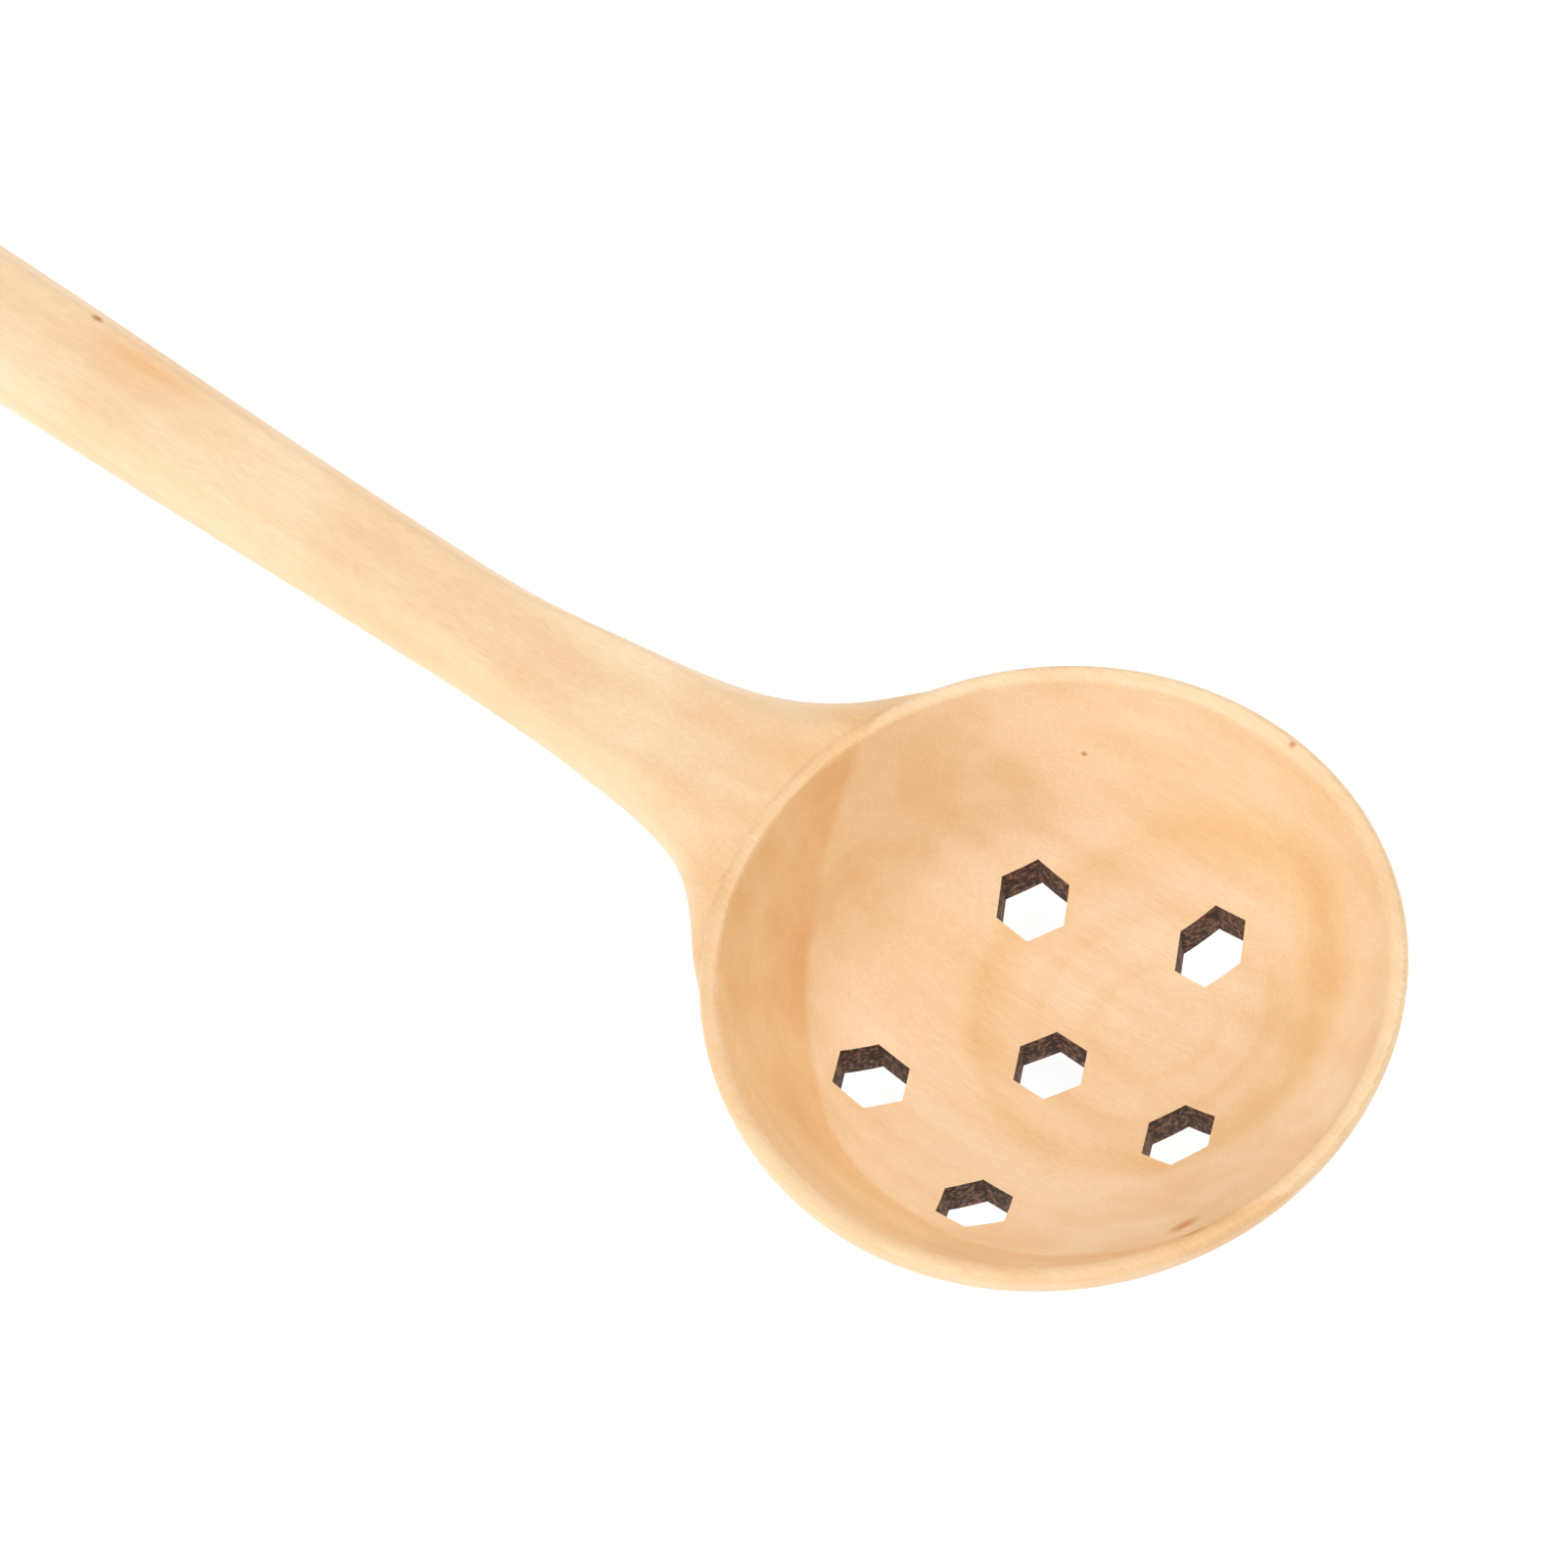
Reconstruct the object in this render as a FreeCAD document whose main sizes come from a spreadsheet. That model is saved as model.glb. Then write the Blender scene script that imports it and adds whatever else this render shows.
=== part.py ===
import FreeCAD, Part
import os
import Sketcher

# Slotted wooden spoon, carved from one blank and pierced with six hexagonal drain holes.
# Millimetres. +X runs from the handle to the tip of the bowl, +Z is up, the rim is level.
# The origin is the middle of the small sanded flat under the bowl that the spoon rests on.

os.makedirs("parts", exist_ok=True)
doc = FreeCAD.newDocument("slotted_spoon")

# ---------------------------------------------------------------- driving dimensions
sheet = doc.addObject("Spreadsheet::Sheet", "dimensions")
dimensions = {
    "rim_height": 27.3,        # level rim above the table
    "bowl_centre": 10.0,       # bowl centre, ahead of the rest flat
    # hexagonal holes, cut straight down: one in the middle and five round it
    "hexagon_radius": 4.0,
    "middle_back": 2.95,
    "front_ahead": 14.2,
    "side_ahead": 3.15,
    "side_out": 18.5,
    "rear_back": 15.6,
    "rear_out": 12.7,
    # half the side of the block that levels the rest flat under the bowl
    "flat_side": 22.0,
    # rounding of the handle end
    "end_rounding": 6.0,
    # blocks that plane the top of the handle and level the rim, and the hole cutters
    "plane_width": 60.0,
    "block_side": 120.0,
    "block_height": 60.0,
    "reach_below": 20.0,
}
for row, (alias, value) in enumerate(dimensions.items(), start=1):
    sheet.set("A%d" % row, alias)
    sheet.set("B%d" % row, "%g" % value)
    sheet.setAlias("B%d" % row, alias)

# Level rings of the bowl: depth below the rim, radius, how far back the ring's middle is.
# The rings of both surfaces step back towards the handle, so the neck wall is the steep one.
outer_rings = [
    (-4.0, 36.2, -0.4),
    (0.0, 35.3, 0.0),
    (2.5, 34.9, 0.3),
    (5.0, 34.1, 0.8),
    (10.0, 31.6, 2.0),
    (15.0, 28.5, 3.5),
    (20.0, 24.7, 5.2),
    (23.3, 20.6, 6.2),
    (25.5, 15.4, 6.6),
    (26.9, 9.3, 6.9),
    (27.6, 3.0, 7.0),
]
hollow_rings = [
    (-5.0, 35.6, -0.8),
    (0.0, 33.5, 0.0),
    (2.5, 32.4, 0.4),
    (5.0, 31.1, 1.0),
    (10.0, 28.2, 2.3),
    (15.0, 24.6, 4.2),
    (18.6, 20.6, 5.8),
    (20.8, 15.8, 6.5),
    (22.3, 9.8, 6.8),
    (23.2, 3.0, 7.0),
]
# Rounded sections of the handle, from its end to inside the bowl wall:
# distance behind the bowl centre, half width, half height, middle below the rim.
handle_sections = [
    (195.2, 7.21, 7.20, 19.95),
    (180.0, 7.23, 7.22, 20.05),
    (162.0, 7.19, 7.18, 19.55),
    (141.0, 6.96, 6.95, 18.10),
    (121.0, 6.63, 6.62, 16.90),
    (102.0, 6.33, 6.32, 15.45),
    (85.0, 6.15, 6.14, 14.00),
    (77.0, 6.20, 6.19, 13.15),
    (70.0, 6.46, 6.45, 12.00),
    (62.5, 7.00, 6.90, 10.60),
    (56.0, 7.70, 6.90, 9.60),
    (50.0, 8.60, 6.30, 8.40),
    (44.0, 10.10, 5.90, 7.00),
    (40.0, 11.80, 5.60, 5.90),
    (37.0, 13.80, 5.60, 5.30),
    (34.0, 16.50, 5.40, 4.60),
    (31.0, 19.50, 5.10, 4.00),
    (28.0, 22.00, 4.60, 3.40),
    (25.0, 24.30, 4.00, 2.90),
    (18.0, 27.60, 3.20, 2.60),
]
# Line along the top of the handle: distance behind the bowl centre, depth below the rim.
top_line = [
    (200.0, 14.6),
    (165.0, 14.0),
    (141.0, 13.0),
    (121.0, 12.0),
    (102.0, 10.7),
    (85.0, 9.3),
    (70.0, 7.7),
    (56.0, 5.2),
    (48.0, 3.2),
    (42.0, 1.6),
    (37.0, 0.5),
    (33.0, 0.0),
]
first_free_row = len(dimensions) + 2
for index, values in enumerate(handle_sections):
    for name, value in zip(("back", "wide", "tall", "drop"), values):
        row = first_free_row + 4 * index + ("back", "wide", "tall", "drop").index(name)
        alias = "section_%s_%s" % (chr(97 + index), name)
        sheet.set("A%d" % row, alias)
        sheet.set("B%d" % row, "%g" % value)
        sheet.setAlias("B%d" % row, alias)
first_free_row += 4 * len(handle_sections) + 1
ring_sets = {"outer": outer_rings, "hollow": hollow_rings}
for index, values in enumerate(top_line):
    for name, value in zip(("back", "drop"), values):
        row = first_free_row + 2 * index + ("back", "drop").index(name)
        alias = "top_%s_%s" % (chr(97 + index), name)
        sheet.set("A%d" % row, alias)
        sheet.set("B%d" % row, "%g" % value)
        sheet.setAlias("B%d" % row, alias)
first_free_row += 2 * len(top_line) + 1
for prefix, rings in ring_sets.items():
    for index, values in enumerate(rings):
        for name, value in zip(("depth", "radius", "back"), values):
            alias = "%s_%s_%s" % (prefix, chr(97 + index), name)
            sheet.set("A%d" % first_free_row, alias)
            sheet.set("B%d" % first_free_row, "%g" % value)
            sheet.setAlias("B%d" % first_free_row, alias)
            first_free_row += 1
doc.recompute()


def cell(alias):
    return "%s.%s" % (sheet.Name, alias)


def bind(item, **expressions):
    """Tie properties of an object to cells; a double underscore stands for a dot."""
    for path, expression in expressions.items():
        item.setExpression(path.replace("__", "."), expression)


bowl_x = cell("bowl_centre")
rim_z = cell("rim_height")

# ---------------------------------------------------------------- bowl surfaces
def ringed_solid(prefix):
    """A bowl-shaped solid lofted through its level rings, from above the rim to the bottom."""
    rings = []
    for index in range(len(ring_sets[prefix])):
        key = "%s_%s" % (prefix, chr(97 + index))
        ring = doc.addObject("Part::Circle", key)
        bind(
            ring,
            Radius=cell(key + "_radius"),
            Placement__Base__x="%s - (%s)" % (bowl_x, cell(key + "_back")),
            Placement__Base__z="%s - (%s)" % (rim_z, cell(key + "_depth")),
        )
        rings.append(ring)
    solid = doc.addObject("Part::Loft", prefix + "_solid")
    solid.Sections = rings
    solid.Solid = True
    solid.Ruled = False
    return solid


bowl_outside = ringed_solid("outer")

above_rim = doc.addObject("Part::Box", "above_rim")
bind(
    above_rim,
    Length=cell("block_side"),
    Width=cell("block_side"),
    Height=cell("block_height"),
    Placement__Base__x="%s - %s / 2" % (bowl_x, cell("block_side")),
    Placement__Base__y="-%s / 2" % cell("block_side"),
    Placement__Base__z=rim_z,
)

# ---------------------------------------------------------------- handle and neck
sections = []
for index in range(len(handle_sections)):
    letter = chr(97 + index)
    section = doc.addObject("Part::Ellipse", "section_%s" % letter)
    # the ellipse lies across the handle, its long axis sideways
    section.Placement.Rotation = FreeCAD.Rotation(
        FreeCAD.Vector(0, 1, 0), FreeCAD.Vector(0, 0, 1), FreeCAD.Vector(1, 0, 0), "ZXY"
    )
    bind(
        section,
        MajorRadius=cell("section_%s_wide" % letter),
        MinorRadius=cell("section_%s_tall" % letter),
        Placement__Base__x="%s - %s" % (bowl_x, cell("section_%s_back" % letter)),
        Placement__Base__z="%s - %s" % (rim_z, cell("section_%s_drop" % letter)),
    )
    sections.append(section)
handle_round = doc.addObject("Part::Loft", "handle_round")
handle_round.Sections = sections
handle_round.Solid = True
handle_round.Ruled = False

doc.recompute()

# the far end is rounded over
handle_whole = doc.addObject("Part::Fillet", "handle_whole")
handle_whole.Base = handle_round
end_x = handle_round.Shape.BoundBox.XMin
end_edges = [
    number
    for number, edge in enumerate(handle_round.Shape.Edges, start=1)
    if edge.BoundBox.XMax < end_x + 0.01
]
rounding = float(sheet.get("end_rounding"))
handle_whole.Edges = [(number, rounding, rounding) for number in end_edges]

# the top of the handle is planed along a gently curved line that runs out level at the rim
plane_body = doc.addObject("PartDesign::Body", "top_plane")
side_view = plane_body.newObject("Sketcher::SketchObject", "top_line")
xz_plane = [f for f in plane_body.Origin.OriginFeatures if f.Role == "XZ_Plane"][0]
side_view.AttachmentSupport = [(xz_plane, "")]
side_view.MapMode = "FlatFace"
top_points = []
for index in range(len(top_line)):
    letter = chr(97 + index)
    back = float(sheet.get("top_%s_back" % letter))
    drop = float(sheet.get("top_%s_drop" % letter))
    top_points.append(
        FreeCAD.Vector(dimensions["bowl_centre"] - back, dimensions["rim_height"] - drop, 0)
    )
curve = Part.BSplineCurve()
curve.interpolate(top_points)
first, last = top_points[0], top_points[-1]
ceiling = dimensions["rim_height"] + float(sheet.get("reach_below"))
side_view.addGeometry(curve, False)
corners = [
    last,
    FreeCAD.Vector(last.x, ceiling, 0),
    FreeCAD.Vector(first.x, ceiling, 0),
    first,
]
for start, stop in zip(corners, corners[1:]):
    side_view.addGeometry(Part.LineSegment(start, stop), False)
side_view.addConstraint(
    [
        Sketcher.Constraint("Coincident", 0, 2, 1, 1),
        Sketcher.Constraint("Coincident", 1, 2, 2, 1),
        Sketcher.Constraint("Coincident", 2, 2, 3, 1),
        Sketcher.Constraint("Coincident", 3, 2, 0, 1),
        Sketcher.Constraint("Vertical", 1),
        Sketcher.Constraint("Horizontal", 2),
        Sketcher.Constraint("Vertical", 3),
    ]
)
planing = plane_body.newObject("PartDesign::Pad", "planing")
planing.Profile = side_view
planing.SideType = "Symmetric"
planing.setExpression("Length", cell("plane_width"))
plane_body.Tip = planing
doc.recompute()

handle = doc.addObject("Part::Cut", "handle")
handle.Base, handle.Tool = handle_whole, plane_body

joined = doc.addObject("Part::Fuse", "joined")
joined.Base, joined.Tool = bowl_outside, handle
blank = doc.addObject("Part::Cut", "blank")
blank.Base, blank.Tool = joined, above_rim

# ---------------------------------------------------------------- hollow of the bowl
hollow = ringed_solid("hollow")
hollowed = doc.addObject("Part::Cut", "hollowed")
hollowed.Base, hollowed.Tool = blank, hollow

# ---------------------------------------------------------------- hexagonal holes
hole_centres = {
    "middle": ("-%s" % cell("middle_back"), "0"),
    "front": (cell("front_ahead"), "0"),
    "left": (cell("side_ahead"), cell("side_out")),
    "right": (cell("side_ahead"), "-%s" % cell("side_out")),
    "rear_left": ("-%s" % cell("rear_back"), cell("rear_out")),
    "rear_right": ("-%s" % cell("rear_back"), "-%s" % cell("rear_out")),
}
cutters = []
for name, (ahead, aside) in hole_centres.items():
    cutter = doc.addObject("Part::Prism", "hexagon_%s" % name)
    cutter.Polygon = 6
    bind(
        cutter,
        Circumradius=cell("hexagon_radius"),
        Height=cell("block_height"),
        Placement__Base__x="%s + (%s)" % (bowl_x, ahead),
        Placement__Base__y=aside,
        Placement__Base__z="-%s" % cell("reach_below"),
    )
    cutters.append(cutter)
hole_set = doc.addObject("Part::MultiFuse", "hole_set")
hole_set.Shapes = cutters
pierced = doc.addObject("Part::Cut", "pierced")
pierced.Base, pierced.Tool = hollowed, hole_set

# ---------------------------------------------------------------- rest flat
under_table = doc.addObject("Part::Box", "under_table")
bind(
    under_table,
    Length="2 * %s" % cell("flat_side"),
    Width="2 * %s" % cell("flat_side"),
    Height=cell("reach_below"),
    Placement__Base__x="-%s" % cell("flat_side"),
    Placement__Base__y="-%s" % cell("flat_side"),
    Placement__Base__z="-%s" % cell("reach_below"),
)
spoon = doc.addObject("Part::Cut", "spoon")
spoon.Base, spoon.Tool = pierced, under_table
spoon.Label = "spoon"
spoon.Placement = FreeCAD.Placement()

# ---------------------------------------------------------------- check and write
doc.recompute()
for item in doc.Objects:
    if "Invalid" in item.State or "Error" in item.State:
        raise RuntimeError("%s failed: %s" % (item.Name, item.State))
pieces = [spoon]
for piece in pieces:
    shape = piece.Shape
    if shape.isNull() or not shape.isValid():
        raise RuntimeError("%s has no valid shape" % piece.Label)
    if len(shape.Solids) != 1:
        raise RuntimeError("%s has %d solids" % (piece.Label, len(shape.Solids)))
drained = hollowed.Shape.Volume - pierced.Shape.Volume
least_per_hole = 100.0
if drained < len(cutters) * least_per_hole:
    raise RuntimeError("the holes took only %.0f mm3" % drained)
for piece in pieces:
    piece.Shape.exportStep("parts/%s.step" % piece.Label)
    box = piece.Shape.BoundBox
    print(piece.Label, "volume", round(piece.Shape.Volume), "box", box)
print("wood taken by the holes", round(drained))
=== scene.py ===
import math

import bpy
import numpy as np
from mathutils import Matrix, Vector


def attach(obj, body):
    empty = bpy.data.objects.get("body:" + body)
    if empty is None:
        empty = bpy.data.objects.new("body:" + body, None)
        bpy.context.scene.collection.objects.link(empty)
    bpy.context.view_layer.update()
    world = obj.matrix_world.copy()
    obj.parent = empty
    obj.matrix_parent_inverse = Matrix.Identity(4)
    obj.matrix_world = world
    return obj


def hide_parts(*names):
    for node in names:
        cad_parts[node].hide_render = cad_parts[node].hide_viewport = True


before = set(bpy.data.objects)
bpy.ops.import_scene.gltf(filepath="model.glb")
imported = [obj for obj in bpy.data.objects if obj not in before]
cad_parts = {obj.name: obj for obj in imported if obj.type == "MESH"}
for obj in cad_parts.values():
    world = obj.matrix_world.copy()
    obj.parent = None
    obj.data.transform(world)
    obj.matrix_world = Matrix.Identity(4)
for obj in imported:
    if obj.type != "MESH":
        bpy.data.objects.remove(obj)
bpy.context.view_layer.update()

scene = bpy.context.scene
scene.view_settings.view_transform = "Standard"
print("frame loaded:", sorted(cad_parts))


def hexColour(code, alpha=1.0):
    # sRGB hex to the linear values the shaders want
    parts = [int(code[i : i + 2], 16) / 255 for i in (1, 3, 5)]
    linear = [c / 12.92 if c <= 0.04045 else ((c + 0.055) / 1.055) ** 2.4 for c in parts]
    return (*linear, alpha)


def addNode(tree, kind, links=None, inputs=None, **settings):
    # one node: settings are its own properties, inputs are values, links are (socket, from)
    node = tree.nodes.new(kind)
    for name, value in settings.items():
        setattr(node, name, value)
    for key, value in (inputs or {}).items():
        node.inputs[key].default_value = value
    for key, source in (links or {}).items():
        tree.links.new(source, node.inputs[key])
    return node


def freshMaterial(name):
    material = bpy.data.materials.new(name)
    material.use_nodes = True
    material.node_tree.nodes.clear()
    return material, material.node_tree


def rampStops(node, stops):
    # colour ramp stops as (position, hex colour)
    ramp = node.color_ramp
    while len(ramp.elements) > 1:
        ramp.elements.remove(ramp.elements[-1])
    ramp.elements[0].position, ramp.elements[0].color = stops[0][0], hexColour(stops[0][1])
    for position, code in stops[1:]:
        ramp.elements.new(position).color = hexColour(code)


cameraSetup = {
    "aimAt": (0.010, 0.0, 0.0273),  # centre of the bowl's mouth, metres
    "azimuth": -39.43,  # degrees round from +X
    "elevation": 58.59,
    "roll": -11.72,
    "distance": 1.1606,  # metres
    "aside": -0.02657,  # metres across and up the view
    "upward": 0.01810,
    "lens": 269.8,  # mm
    "sensor": 36.0,  # mm
    "clip": (0.05, 20.0),
}


def placeCamera(setup):
    az, el, roll = (math.radians(setup[k]) for k in ("azimuth", "elevation", "roll"))
    back = Vector((math.cos(el) * math.cos(az), math.cos(el) * math.sin(az), math.sin(el)))
    right = Vector((0, 0, 1)).cross(back).normalized()
    up = back.cross(right)
    right, up = (
        right * math.cos(roll) + up * math.sin(roll),
        up * math.cos(roll) - right * math.sin(roll),
    )
    place = Vector(setup["aimAt"]) + back * setup["distance"]
    place += right * setup["aside"] + up * setup["upward"]
    data = bpy.data.cameras.new("camera")
    data.lens = setup["lens"]
    data.sensor_width = setup["sensor"]
    data.clip_start, data.clip_end = setup["clip"]
    camera = bpy.data.objects.new("camera", data)
    camera.matrix_world = Matrix.Translation(place) @ Matrix((right, up, back)).transposed().to_4x4()
    scene.collection.objects.link(camera)
    scene.camera = camera


placeCamera(cameraSetup)

stageSetup = {
    "floorSize": 3.0,
    "floorDrop": 0.0004,
    # a tabletop that glows like a lit light table; its low colour keeps the shadows faint
    "floorColour": "#6E6E6E",
    "floorGlow": 0.91,
    "worldColour": "#FFFFFF",
    "worldStrength": 0.62,
    "lightAim": (0, 0, 0.02),
    # soft round lights: name, place, size in metres, power in watts
    "lights": [
        ("keyLight", (0.12, -0.72, 0.52), 0.60, 2.3),
        ("lowLight", (-0.30, -0.90, 0.30), 0.30, 2.0),
        ("topLight", (0.14, 0.50, 0.82), 0.60, 3.4),
    ],
}


def areaLight(name, place, target, size, power):
    data = bpy.data.lights.new(name, "AREA")
    data.shape = "DISK"
    data.size = size
    data.energy = power
    light = bpy.data.objects.new(name, data)
    light.location = place
    light.rotation_euler = (Vector(target) - Vector(place)).to_track_quat("-Z", "Y").to_euler()
    scene.collection.objects.link(light)


def layStage(setup):
    half = setup["floorSize"] / 2
    mesh = bpy.data.meshes.new("floor")
    corners = [(-half, -half, 0), (half, -half, 0), (half, half, 0), (-half, half, 0)]
    mesh.from_pydata(corners, [], [(0, 1, 2, 3)])
    floor = bpy.data.objects.new("floor", mesh)
    floor.location.z = -setup["floorDrop"]
    scene.collection.objects.link(floor)
    material, tree = freshMaterial("pale tabletop")
    shader = addNode(
        tree,
        "ShaderNodeBsdfPrincipled",
        inputs={
            "Base Color": hexColour(setup["floorColour"]),
            "Roughness": 0.9,
            "Emission Color": hexColour("#FFFFFF"),
            "Emission Strength": setup["floorGlow"],
        },
    )
    addNode(tree, "ShaderNodeOutputMaterial", {"Surface": shader.outputs[0]})
    mesh.materials.append(material)
    world = bpy.data.worlds.new("studio")
    world.use_nodes = True
    background = world.node_tree.nodes["Background"]
    background.inputs["Color"].default_value = hexColour(setup["worldColour"])
    background.inputs["Strength"].default_value = setup["worldStrength"]
    scene.world = world
    for name, place, size, power in setup["lights"]:
        areaLight(name, place, setup["lightAim"], size, power)


layStage(stageSetup)
print("camera and stage ready")


# Millimetres here; x is measured from the centre of the bowl's mouth and z from the level rim.
spoonShape = {
    "mouth": (10.0, 0.0, 27.3),  # where that centre is, from the spoon's own origin
    # level rings of both surfaces: depth, radius, how far back towards the handle the ring sits
    "outerRings": [
        (-4.0, 36.2, -0.4),
        (0.0, 35.3, 0.0),
        (2.5, 34.9, 0.3),
        (5.0, 34.1, 0.8),
        (10.0, 31.6, 2.0),
        (15.0, 28.5, 3.5),
        (20.0, 24.7, 5.2),
        (23.3, 20.6, 6.2),
        (25.5, 15.4, 6.6),
        (26.9, 9.3, 6.9),
        (27.6, 3.0, 7.0),
    ],
    "hollowRings": [
        (-5.0, 35.6, -0.8),
        (0.0, 33.5, 0.0),
        (2.5, 32.4, 0.4),
        (5.0, 31.1, 1.0),
        (10.0, 28.2, 2.3),
        (15.0, 24.6, 4.2),
        (18.6, 20.6, 5.8),
        (20.8, 15.8, 6.5),
        (22.3, 9.8, 6.8),
        (23.2, 3.0, 7.0),
    ],
    "restDepth": 27.3,  # the small flat under the bowl
    "restRounding": 0.3,
    "endAt": -195.2,
    "endRounding": 6.0,
    "handleInto": -18.5,  # where the handle ends inside the bowl wall
    "joinRounding": 0.5,
    "lipRounding": 0.95,  # outer edge of the lip
    "innerRounding": 0.8,  # inner edge of the lip
    "neckEdge": 0.3,  # crisp edge where the neck runs into the hollow
    "neckFrom": 0.72,  # the neck starts at this cosine of the angle from straight behind
    "neckOver": 0.2,  # and is full after this much more
    "arrisRounding": 0.3,  # long edges of the planed top
    "crown": 0.1,  # rise of the planed top across its width
    "crownReach": 0.7,  # share of the half width where the crown has fallen to nothing
    "crownLimits": (-1.5, 1.0),
    "planeSlope": 0.99,  # turns height above the sloping top into distance from it
    "underBlend": 4.0,  # hollow under the neck where it meets the bowl
    "blendBelow": -3.0,  # the blend grows from this height down
    "blendDrop": 5.0,
    "blendHalf": 14.0,  # and has faded out this far from the middle
    "blendFade": 9.0,
    "blendLeast": 0.03,
    "meshLow": (-197.2, -38.0, -29.1),  # block of space that the mesh is made in
    "meshHigh": (38.2, 38.0, 1.7),
    "meshStep": 0.6,
    "settleRounds": 5,
    "settleLimit": 0.4,  # furthest that a point may move in one round
    # along the handle: x, half width, half height, height of the middle
    "stations": [
        (-206.0, 7.20, 7.20, -19.90),
        (-195.2, 7.21, 7.20, -19.95),
        (-180.0, 7.23, 7.22, -20.05),
        (-162.0, 7.19, 7.18, -19.55),
        (-141.0, 6.96, 6.95, -18.10),
        (-121.0, 6.63, 6.62, -16.90),
        (-102.0, 6.33, 6.32, -15.45),
        (-85.0, 6.15, 6.14, -14.00),
        (-77.0, 6.20, 6.19, -13.15),
        (-70.0, 6.46, 6.45, -12.00),
        (-62.5, 7.00, 6.90, -10.60),
        (-56.0, 7.70, 6.90, -9.60),
        (-50.0, 8.60, 6.30, -8.40),
        (-44.0, 10.10, 5.90, -7.00),
        (-40.0, 11.80, 5.60, -5.90),
        (-37.0, 13.80, 5.60, -5.30),
        (-34.0, 16.50, 5.40, -4.60),
        (-31.0, 19.50, 5.10, -4.00),
        (-28.0, 22.00, 4.60, -3.40),
        (-25.0, 24.30, 4.00, -2.90),
        (-18.0, 27.60, 3.20, -2.60),
    ],
    # line of the planed top: x, height
    "topLine": [
        (-206.0, -14.6),
        (-165.0, -14.0),
        (-141.0, -13.0),
        (-121.0, -12.0),
        (-102.0, -10.7),
        (-85.0, -9.3),
        (-70.0, -7.7),
        (-56.0, -5.2),
        (-48.0, -3.2),
        (-42.0, -1.6),
        (-37.0, -0.5),
        (-33.0, 0.0),
        (-20.0, 0.4),
    ],
}

def smoothLine(points):
    # natural cubic through given points, returned as a function of x
    table = np.array(points, float)
    x, y = table[:, 0], table[:, 1]
    gap = np.diff(x)
    n = len(x)
    rows, right = np.eye(n), np.zeros(n)
    for i in range(1, n - 1):
        rows[i, i - 1 : i + 2] = gap[i - 1], 2 * (gap[i - 1] + gap[i]), gap[i]
        right[i] = 6 * ((y[i + 1] - y[i]) / gap[i] - (y[i] - y[i - 1]) / gap[i - 1])
    bend = np.linalg.solve(rows, right)

    def value(at):
        at = np.clip(at, x[0], x[-1])
        i = np.clip(np.searchsorted(x, at) - 1, 0, n - 2)
        a, b, h = x[i + 1] - at, at - x[i], gap[i]
        curve = (bend[i] * a**3 + bend[i + 1] * b**3) / (6 * h)
        return curve + (y[i] / h - bend[i] * h / 6) * a + (y[i + 1] / h - bend[i + 1] * h / 6) * b

    return value


stations = np.array(spoonShape["stations"])
halfWidth, halfHeight, middle = (
    smoothLine(np.column_stack([stations[:, 0], stations[:, k]])) for k in (1, 2, 3)
)
topLine = smoothLine(spoonShape["topLine"])


def ringedSurface(rings):
    # distance to a bowl surface through level rings, negative inside the bowl's outline
    table = np.array(rings)
    height, radius, back = -table[::-1, 0], table[::-1, 1], table[::-1, 2]
    behind = smoothLine(np.column_stack([height, back]))
    # the same points mirrored, so that the bottom comes out level
    profile = smoothLine(
        np.column_stack([np.append(-radius[::-1], radius), np.append(height[::-1], height)])
    )
    nudge = 0.05
    leastLean = 0.1

    def distance(p):
        x, y, z = p[:, 0], p[:, 1], p[:, 2]
        ahead = x + behind(z)
        out = np.hypot(ahead, y)
        rise = (profile(out + nudge) - profile(out - nudge)) / (2 * nudge)
        shift = (behind(z + nudge) - behind(z - nudge)) / (2 * nudge)
        lean = 1 - rise * shift * ahead / np.maximum(out, 1e-6)
        return (profile(out) - z) / np.hypot(rise, np.maximum(lean, leastLean))

    return distance


outerSurface = ringedSurface(spoonShape["outerRings"])
hollowSurface = ringedSurface(spoonShape["hollowRings"])


def roundBoth(a, b, r):
    # inside both, with the shared edge rounded to radius r
    u = np.maximum(a + r, 0)
    v = np.maximum(b + r, 0)
    return np.minimum(-r, np.maximum(a, b)) + np.hypot(u, v)


def blendUnion(a, b, r):
    # inside either, with the corner between them filled to radius r
    u = np.maximum(r - a, 0)
    v = np.maximum(r - b, 0)
    return np.maximum(r, np.minimum(a, b)) - np.hypot(u, v)


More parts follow.
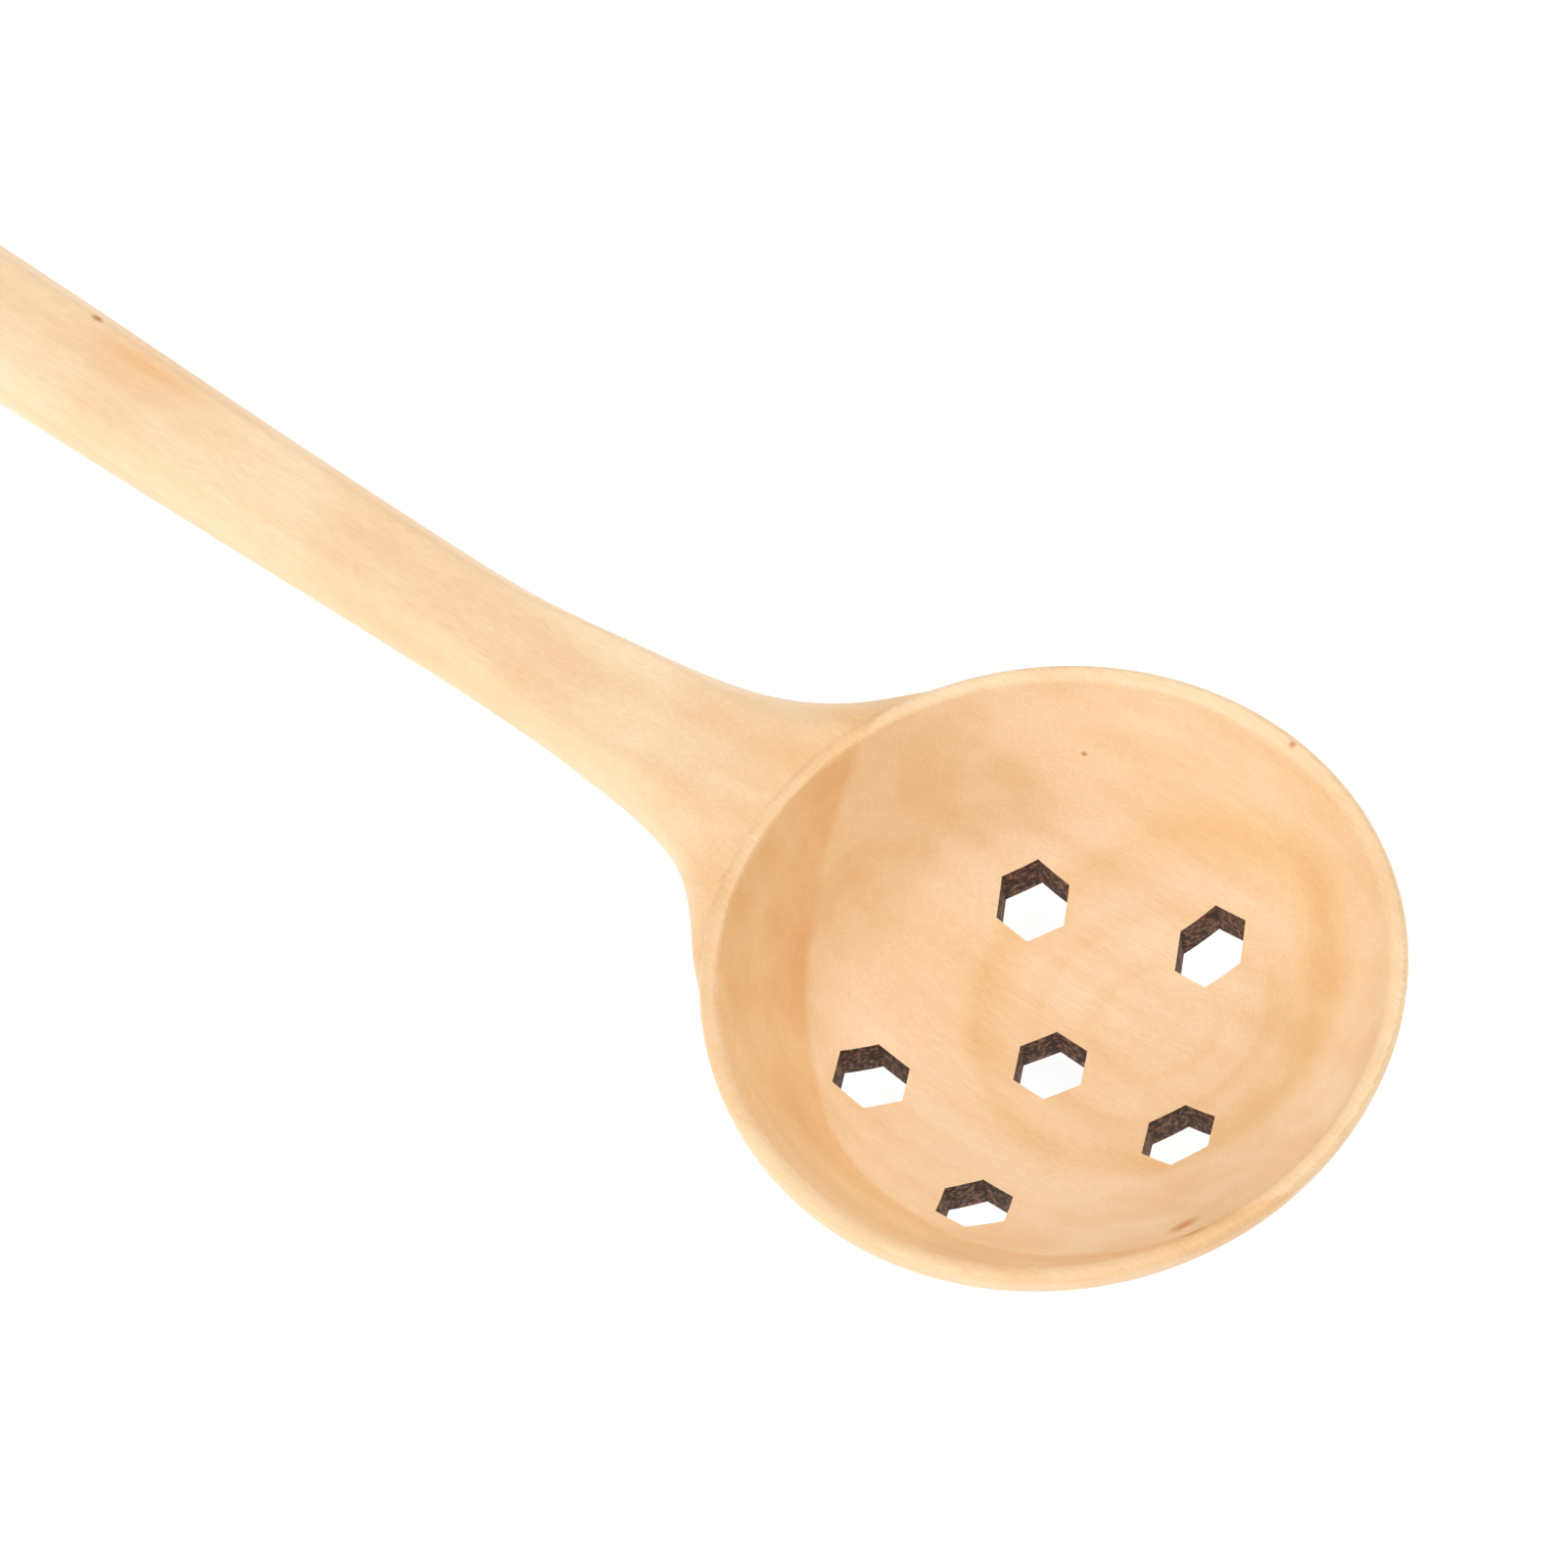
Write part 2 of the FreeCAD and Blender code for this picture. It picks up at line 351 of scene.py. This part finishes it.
def blankDistance(p):
    # distance from the surface of the spoon before its holes are cut, negative inside
    s = spoonShape
    x, y, z = p[:, 0], p[:, 1], p[:, 2]
    wide, tall, mid = halfWidth(x), halfHeight(x), middle(x)
    dz = z - mid
    near = np.hypot(y / wide, dz / tall)
    slope = np.hypot(y / wide**2, dz / tall**2)
    handle = near * (near - 1) / np.maximum(slope, 1e-9)
    # that distance fails near the handle's middle line, where any depth well inside will do
    core, coreDepth = 0.2, 0.8
    handle = np.where(near < core, -coreDepth * np.minimum(wide, tall), handle)
    handle = roundBoth(handle, s["endAt"] - x, s["endRounding"])
    crown = s["crown"] * (1 - np.square(y / np.maximum(s["crownReach"] * wide, 1)))
    planed = (z - topLine(x) - np.clip(crown, *s["crownLimits"])) * s["planeSlope"]
    handle = roundBoth(handle, planed, s["arrisRounding"])
    handle = roundBoth(handle, x - s["handleInto"], s["joinRounding"])
    bowl = outerSurface(p)
    # the blend is only low down and near the middle, so the rim and the flare keep their lines
    below = np.clip((s["blendBelow"] - z) / s["blendDrop"], s["blendLeast"], 1)
    central = np.clip((s["blendHalf"] - np.abs(y)) / s["blendFade"], s["blendLeast"], 1)
    body = blendUnion(handle, bowl, s["underBlend"] * below * central)
    body = roundBoth(body, z, s["lipRounding"])
    # the inner edge of the lip is rounded all round, and sharper across the neck
    reach = np.hypot(x, y)
    neck = np.clip((-x / np.maximum(reach, 1) - s["neckFrom"]) / s["neckOver"], 0, 1)
    neck = neck * neck * (3 - 2 * neck)
    hollow = hollowSurface(p)
    inner = s["innerRounding"] + (s["neckEdge"] - s["innerRounding"]) * neck
    body = roundBoth(body, -hollow, inner)
    return roundBoth(body, -(z + s["restDepth"]), s["restRounding"])


def gradient(p, step=0.02):
    # direction and steepness in which the distance grows
    out = np.empty_like(p)
    for k in range(3):
        shift = np.zeros(3)
        shift[k] = step
        out[:, k] = (blankDistance(p + shift) - blankDistance(p - shift)) / (2 * step)
    return out


def wrapSurface(low, high, step):
    # surface nets: one point in each grid cell that the surface passes, one quad per crossed edge
    counts = [math.ceil((top - bottom) / step) + 1 for bottom, top in zip(low, high)]
    axes = [start + step * np.arange(n) for start, n in zip(low, counts)]
    grid = np.stack(np.meshgrid(*axes, indexing="ij"), -1).reshape(-1, 3)
    value = blankDistance(grid).reshape(counts)
    inside = value < 0
    cells = [n - 1 for n in counts]
    total = np.zeros(cells + [3])
    hits = np.zeros(cells)
    crossings = []
    for axis in range(3):
        here = [slice(None)] * 3
        here[axis] = slice(0, -1)
        beyond = [slice(None)] * 3
        beyond[axis] = slice(1, None)
        here, beyond = tuple(here), tuple(beyond)
        cut = inside[here] != inside[beyond]
        nodes = np.nonzero(cut)
        share = value[here][cut] / (value[here][cut] - value[beyond][cut])
        crossing = np.column_stack([line[n] for line, n in zip(axes, nodes)])
        crossing[:, axis] += share * step
        first, second = (other for other in range(3) if other != axis)
        around = []
        for back, down in ((0, 0), (1, 0), (1, 1), (0, 1)):
            cell = [n.copy() for n in nodes]
            cell[first] -= back
            cell[second] -= down
            np.add.at(total, tuple(cell), crossing)
            np.add.at(hits, tuple(cell), 1)
            around.append(tuple(cell))
        # the four cells run the other way round the middle axis
        leaving = inside[here][cut]
        crossings.append((around, ~leaving if axis == 1 else leaving))
    used = hits > 0
    index = np.full(cells, -1)
    index[used] = np.arange(used.sum())
    points = total[used] / hits[used][:, None]
    quads = []
    for around, kept in crossings:
        loop = np.column_stack([index[cell] for cell in around])
        loop[~kept] = loop[~kept][:, ::-1]
        quads.append(loop)
    return points, np.vstack(quads)


def buildBlank():
    s = spoonShape
    points, quads = wrapSurface(s["meshLow"], s["meshHigh"], s["meshStep"])
    # the points settle on the true surface
    leastSlope = 0.05
    for _ in range(s["settleRounds"]):
        slope = gradient(points)
        size = np.maximum((slope**2).sum(1), leastSlope)
        move = slope * (blankDistance(points) / size)[:, None]
        length = np.linalg.norm(move, axis=1, keepdims=True)
        points = points - move * np.minimum(1, s["settleLimit"] / np.maximum(length, 1e-9))
    mesh = bpy.data.meshes.new("spoonBlank")
    place = (points + np.array(s["mouth"])) / 1000
    mesh.from_pydata(place.tolist(), [], quads.tolist())
    mesh.validate()
    return mesh


# Six drain holes: one in the middle and five round it. Millimetres from the centre of the mouth.
holeSetup = {
    "radius": 4.0,  # to the corners of the hexagon
    "centres": [(-2.95, 0), (14.2, 0), (3.15, 18.5), (3.15, -18.5), (-15.6, 12.7), (-15.6, -12.7)],
    "barMiddle": 10.0,  # height of the cutting bars' middles above the table
    "barLength": 60.0,
}


def cutterTree():
    # a hexagonal bar on each marked point, upright
    tree = bpy.data.node_groups.new("hexagonBars", "GeometryNodeTree")
    face = tree.interface
    face.new_socket("Geometry", in_out="INPUT", socket_type="NodeSocketGeometry")
    face.new_socket("Radius", in_out="INPUT", socket_type="NodeSocketFloat")
    face.new_socket("Length", in_out="INPUT", socket_type="NodeSocketFloat")
    face.new_socket("Material", in_out="INPUT", socket_type="NodeSocketMaterial")
    face.new_socket("Geometry", in_out="OUTPUT", socket_type="NodeSocketGeometry")
    source = addNode(tree, "NodeGroupInput")
    bar = addNode(
        tree,
        "GeometryNodeMeshCylinder",
        {"Radius": source.outputs["Radius"], "Depth": source.outputs["Length"]},
        {"Vertices": 6},
    )
    placed = addNode(
        tree,
        "GeometryNodeInstanceOnPoints",
        {"Points": source.outputs["Geometry"], "Instance": bar.outputs["Mesh"]},
    )
    real = addNode(tree, "GeometryNodeRealizeInstances", {"Geometry": placed.outputs[0]})
    finish = addNode(
        tree,
        "GeometryNodeSetMaterial",
        {"Geometry": real.outputs[0], "Material": source.outputs["Material"]},
    )
    addNode(tree, "NodeGroupOutput", {"Geometry": finish.outputs[0]})
    return tree


def hexagonBars(setup, material):
    mouth = spoonShape["mouth"]
    mesh = bpy.data.meshes.new("holePoints")
    height = setup["barMiddle"] / 1000
    places = [((x + mouth[0]) / 1000, (y + mouth[1]) / 1000, height) for x, y in setup["centres"]]
    mesh.from_pydata(places, [], [])
    points = bpy.data.objects.new("holePoints", mesh)
    scene.collection.objects.link(points)
    modifier = points.modifiers.new("bars", "NODES")
    modifier.node_group = cutterTree()
    sockets = {
        item.name: item.identifier
        for item in modifier.node_group.interface.items_tree
        if item.in_out == "INPUT"
    }
    modifier[sockets["Radius"]] = setup["radius"] / 1000
    modifier[sockets["Length"]] = setup["barLength"] / 1000
    modifier[sockets["Material"]] = material
    graph = bpy.context.evaluated_depsgraph_get()
    solid = bpy.data.meshes.new_from_object(points.evaluated_get(graph))
    bpy.data.objects.remove(points)
    bars = bpy.data.objects.new("hexagonBars", solid)
    scene.collection.objects.link(bars)
    return bars


# Pale close-grained hardwood (lime or birch), turned and sanded fine under a satin lacquer:
# even cream, growth rings that show as soft arcs in the hollow, and hardly visible pores.
woodSetup = {
    "ringCentre": (13.0, 10.0, 0.0),  # mm, the upright axis that the growth rings run round
    "ringReach": 60.0,  # mm of radius that the ring colours below cover
    "ringWobble": 1.6,
    "ringWobbleSize": 26.0,
    # radius in mm and colour, from the axis outwards; the neck lies outside the last ring
    "rings": [
        (0.0, "#FBE1BD"),
        (5.4, "#FADFB9"),
        (6.0, "#F8D9AF"),
        (8.0, "#FBE0BB"),
        (11.2, "#FADEB9"),
        (11.8, "#F8D8AE"),
        (14.0, "#FADEB9"),
        (16.6, "#F7D5A9"),
        (18.4, "#F5D0A0"),
        (20.5, "#FADDB7"),
        (28.0, "#FBE0BB"),
        (34.6, "#FADDB6"),
        (35.1, "#F4CC9B"),
        (42.0, "#F6D3A6"),
        (56.0, "#FADDB8"),
    ],
    # three tints that multiply the rings: size in mm along and across the handle, noise detail,
    # and the ramp's stops
    "clouds": ((18.0, 18.0), 2.0, [(0.34, "#FCF6EE"), (0.58, "#FFFFFF")]),
    "streaks": ((90.0, 5.0), 2.0, [(0.38, "#FAF2E8"), (0.62, "#FFFFFF")]),
    # lime fibres are finer than 0.1 mm and are drawn coarser, so that they show
    "fibres": ((2.4, 0.22), 3.0, [(0.30, "#F7F2EC"), (0.66, "#FFFFFF")]),
    "fibreRelief": 0.03,  # mm
    "fibreBump": 0.12,
    "roughness": 0.42,
    "lacquerIor": 1.48,
}

# small natural marks: place in mm, radius in mm, colour that the wood is multiplied by
markSetup = [
    {"place": (35.7, -11.8, 20.4), "radius": (1.6, 2.4, 3.0), "colour": "#E0AE80"},
    {"place": (39.3, -13.9, 25.6), "radius": (1.6, 1.6, 2.6), "colour": "#F0D2B2"},
    {"place": (-7.3, 24.4, 18.3), "radius": (0.4, 0.4, 0.4), "colour": "#D2AA86"},
    {"place": (12.7, 34.1, 27.3), "radius": (0.5, 0.5, 0.5), "colour": "#DBB795"},
    {"place": (-125.8, 4.6, 14.4), "radius": (1.1, 0.5, 0.6), "colour": "#C9A585"},
    {"place": (-117.0, 3.0, 15.0), "radius": (15.0, 1.3, 1.2), "colour": "#FBECDA"},
]


def perMetre(millimetres):
    return 1000.0 / millimetres


def stretchedNoise(tree, place, size, detail, stops):
    # noise with features of the given lengths along and across the handle, as a tint
    along, across = size
    space = addNode(
        tree, "ShaderNodeMapping", {"Vector": place}, {"Scale": (across / along, 1, 1)}
    )
    noise = addNode(
        tree,
        "ShaderNodeTexNoise",
        {"Vector": space.outputs[0]},
        {"Scale": perMetre(across), "Detail": detail, "Roughness": 0.55},
    )
    tint = addNode(tree, "ShaderNodeValToRGB", {"Fac": noise.outputs["Fac"]})
    rampStops(tint, stops)
    return noise.outputs["Fac"], tint.outputs["Color"]


def ringTint(tree, place, setup):
    # distance from the upright ring axis, wavering a little
    waver = addNode(
        tree,
        "ShaderNodeTexNoise",
        {"Vector": place},
        {"Scale": perMetre(setup["ringWobbleSize"]), "Detail": 1.0},
    )
    centre = [v / 1000 for v in setup["ringCentre"]]
    flat = addNode(tree, "ShaderNodeVectorMath", {0: place}, {1: (1, 1, 0)}, operation="MULTIPLY")
    radius = addNode(
        tree, "ShaderNodeVectorMath", {0: flat.outputs[0]}, {1: centre}, operation="DISTANCE"
    )
    wobble = setup["ringWobble"] / 1000
    shift = addNode(
        tree,
        "ShaderNodeMath",
        {0: waver.outputs["Fac"], 2: radius.outputs["Value"]},
        {1: 2 * wobble},
        operation="MULTIPLY_ADD",
    )
    part = addNode(
        tree,
        "ShaderNodeMapRange",
        {"Value": shift.outputs[0]},
        {"From Min": wobble, "From Max": wobble + setup["ringReach"] / 1000},
    )
    tint = addNode(tree, "ShaderNodeValToRGB", {"Fac": part.outputs[0]})
    rampStops(tint, [(at / setup["ringReach"], code) for at, code in setup["rings"]])
    return tint.outputs["Color"]


def markTint(tree, place, mark):
    # soft-edged ellipsoid of darker wood
    centre = Vector(mark["place"]) / 1000
    scale = Vector(perMetre(r) for r in mark["radius"])
    away = addNode(tree, "ShaderNodeVectorMath", {0: place}, {1: centre}, operation="SUBTRACT")
    local = addNode(
        tree, "ShaderNodeVectorMath", {0: away.outputs[0]}, {1: scale}, operation="MULTIPLY"
    )
    reach = addNode(tree, "ShaderNodeVectorMath", {0: local.outputs[0]}, operation="LENGTH")
    tint = addNode(tree, "ShaderNodeValToRGB", {"Fac": reach.outputs["Value"]})
    solidShare = 0.25
    rampStops(tint, [(solidShare, mark["colour"]), (1.0, "#FFFFFF")])
    return tint.outputs["Color"]


def lacqueredWood(setup, marks):
    material, tree = freshMaterial("satin lacquered limewood")
    place = addNode(tree, "ShaderNodeTexCoord").outputs["Object"]
    colour = ringTint(tree, place, setup)
    tints = []
    for name in ("clouds", "streaks", "fibres"):
        height, tint = stretchedNoise(tree, place, *setup[name])
        tints.append(tint)
    for mark in marks:
        tints.append(markTint(tree, place, mark))
    for tint in tints:
        mixed = addNode(
            tree,
            "ShaderNodeMix",
            {"A": colour, "B": tint},
            {"Factor": 1.0},
            data_type="RGBA",
            blend_type="MULTIPLY",
        )
        colour = mixed.outputs["Result"]
    # the fibres, the last of the three, also stand up a little under the lacquer
    bump = addNode(
        tree,
        "ShaderNodeBump",
        {"Height": height},
        {"Strength": setup["fibreBump"], "Distance": setup["fibreRelief"] / 1000},
    )
    shader = addNode(
        tree,
        "ShaderNodeBsdfPrincipled",
        {"Base Color": colour, "Normal": bump.outputs[0]},
        {"Roughness": setup["roughness"], "IOR": setup["lacquerIor"]},
    )
    addNode(tree, "ShaderNodeOutputMaterial", {"Surface": shader.outputs[0]})
    return material


# Walls of the holes: wood scorched by the laser that cut them, matt brown with lighter flecks.
scorchSetup = {
    "fleckSize": 0.55,  # mm
    "flecks": [(0.46, "#48312A"), (0.66, "#A67C60")],
    "roughness": 0.85,
}


def scorchedWood(setup):
    material, tree = freshMaterial("laser scorched limewood")
    place = addNode(tree, "ShaderNodeTexCoord")
    flecks = addNode(
        tree,
        "ShaderNodeTexNoise",
        {"Vector": place.outputs["Object"]},
        {"Scale": perMetre(setup["fleckSize"]), "Detail": 3.0, "Roughness": 0.65},
    )
    tint = addNode(tree, "ShaderNodeValToRGB", {"Fac": flecks.outputs["Fac"]})
    rampStops(tint, setup["flecks"])
    shader = addNode(
        tree,
        "ShaderNodeBsdfPrincipled",
        {"Base Color": tint.outputs["Color"]},
        {"Roughness": setup["roughness"]},
    )
    addNode(tree, "ShaderNodeOutputMaterial", {"Surface": shader.outputs[0]})
    return material


limewood = lacqueredWood(woodSetup, markSetup)
scorched = scorchedWood(scorchSetup)


def smoothShading(mesh):
    # carved surfaces take the true normal of the shape, hole walls stay flat
    wall = list(mesh.materials).index(scorched)
    place = np.empty(len(mesh.vertices) * 3)
    mesh.vertices.foreach_get("co", place)
    points = place.reshape(-1, 3) * 1000 - np.array(spoonShape["mouth"])
    normal = gradient(points)
    normal /= np.maximum(np.linalg.norm(normal, axis=1, keepdims=True), 1e-9)
    loops = np.empty(len(mesh.loops), int)
    mesh.loops.foreach_get("vertex_index", loops)
    custom = normal[loops]
    for face in mesh.polygons:
        if face.material_index == wall:
            custom[face.loop_start : face.loop_start + face.loop_total] = face.normal
    mesh.polygons.foreach_set("use_smooth", [True] * len(mesh.polygons))
    mesh.normals_split_custom_set(custom.tolist())


def buildSpoon():
    blank = buildBlank()
    blank.materials.append(limewood)
    print("blank shaped:", len(blank.vertices), "points")
    spoon = bpy.data.objects.new("carvedSpoon", blank)
    scene.collection.objects.link(spoon)
    bars = hexagonBars(holeSetup, scorched)
    cut = spoon.modifiers.new("holes", "BOOLEAN")
    cut.operation = "DIFFERENCE"
    cut.solver = "EXACT"
    cut.object = bars
    cut.material_mode = "TRANSFER"
    graph = bpy.context.evaluated_depsgraph_get()
    pierced = bpy.data.meshes.new_from_object(spoon.evaluated_get(graph))
    spoon.modifiers.clear()
    spoon.data = pierced
    bpy.data.objects.remove(bars)
    smoothShading(pierced)
    print("holes cut:", len(pierced.polygons), "faces")
    return spoon


spoon = buildSpoon()
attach(spoon, "root")
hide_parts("spoon")
print("spoon finished")
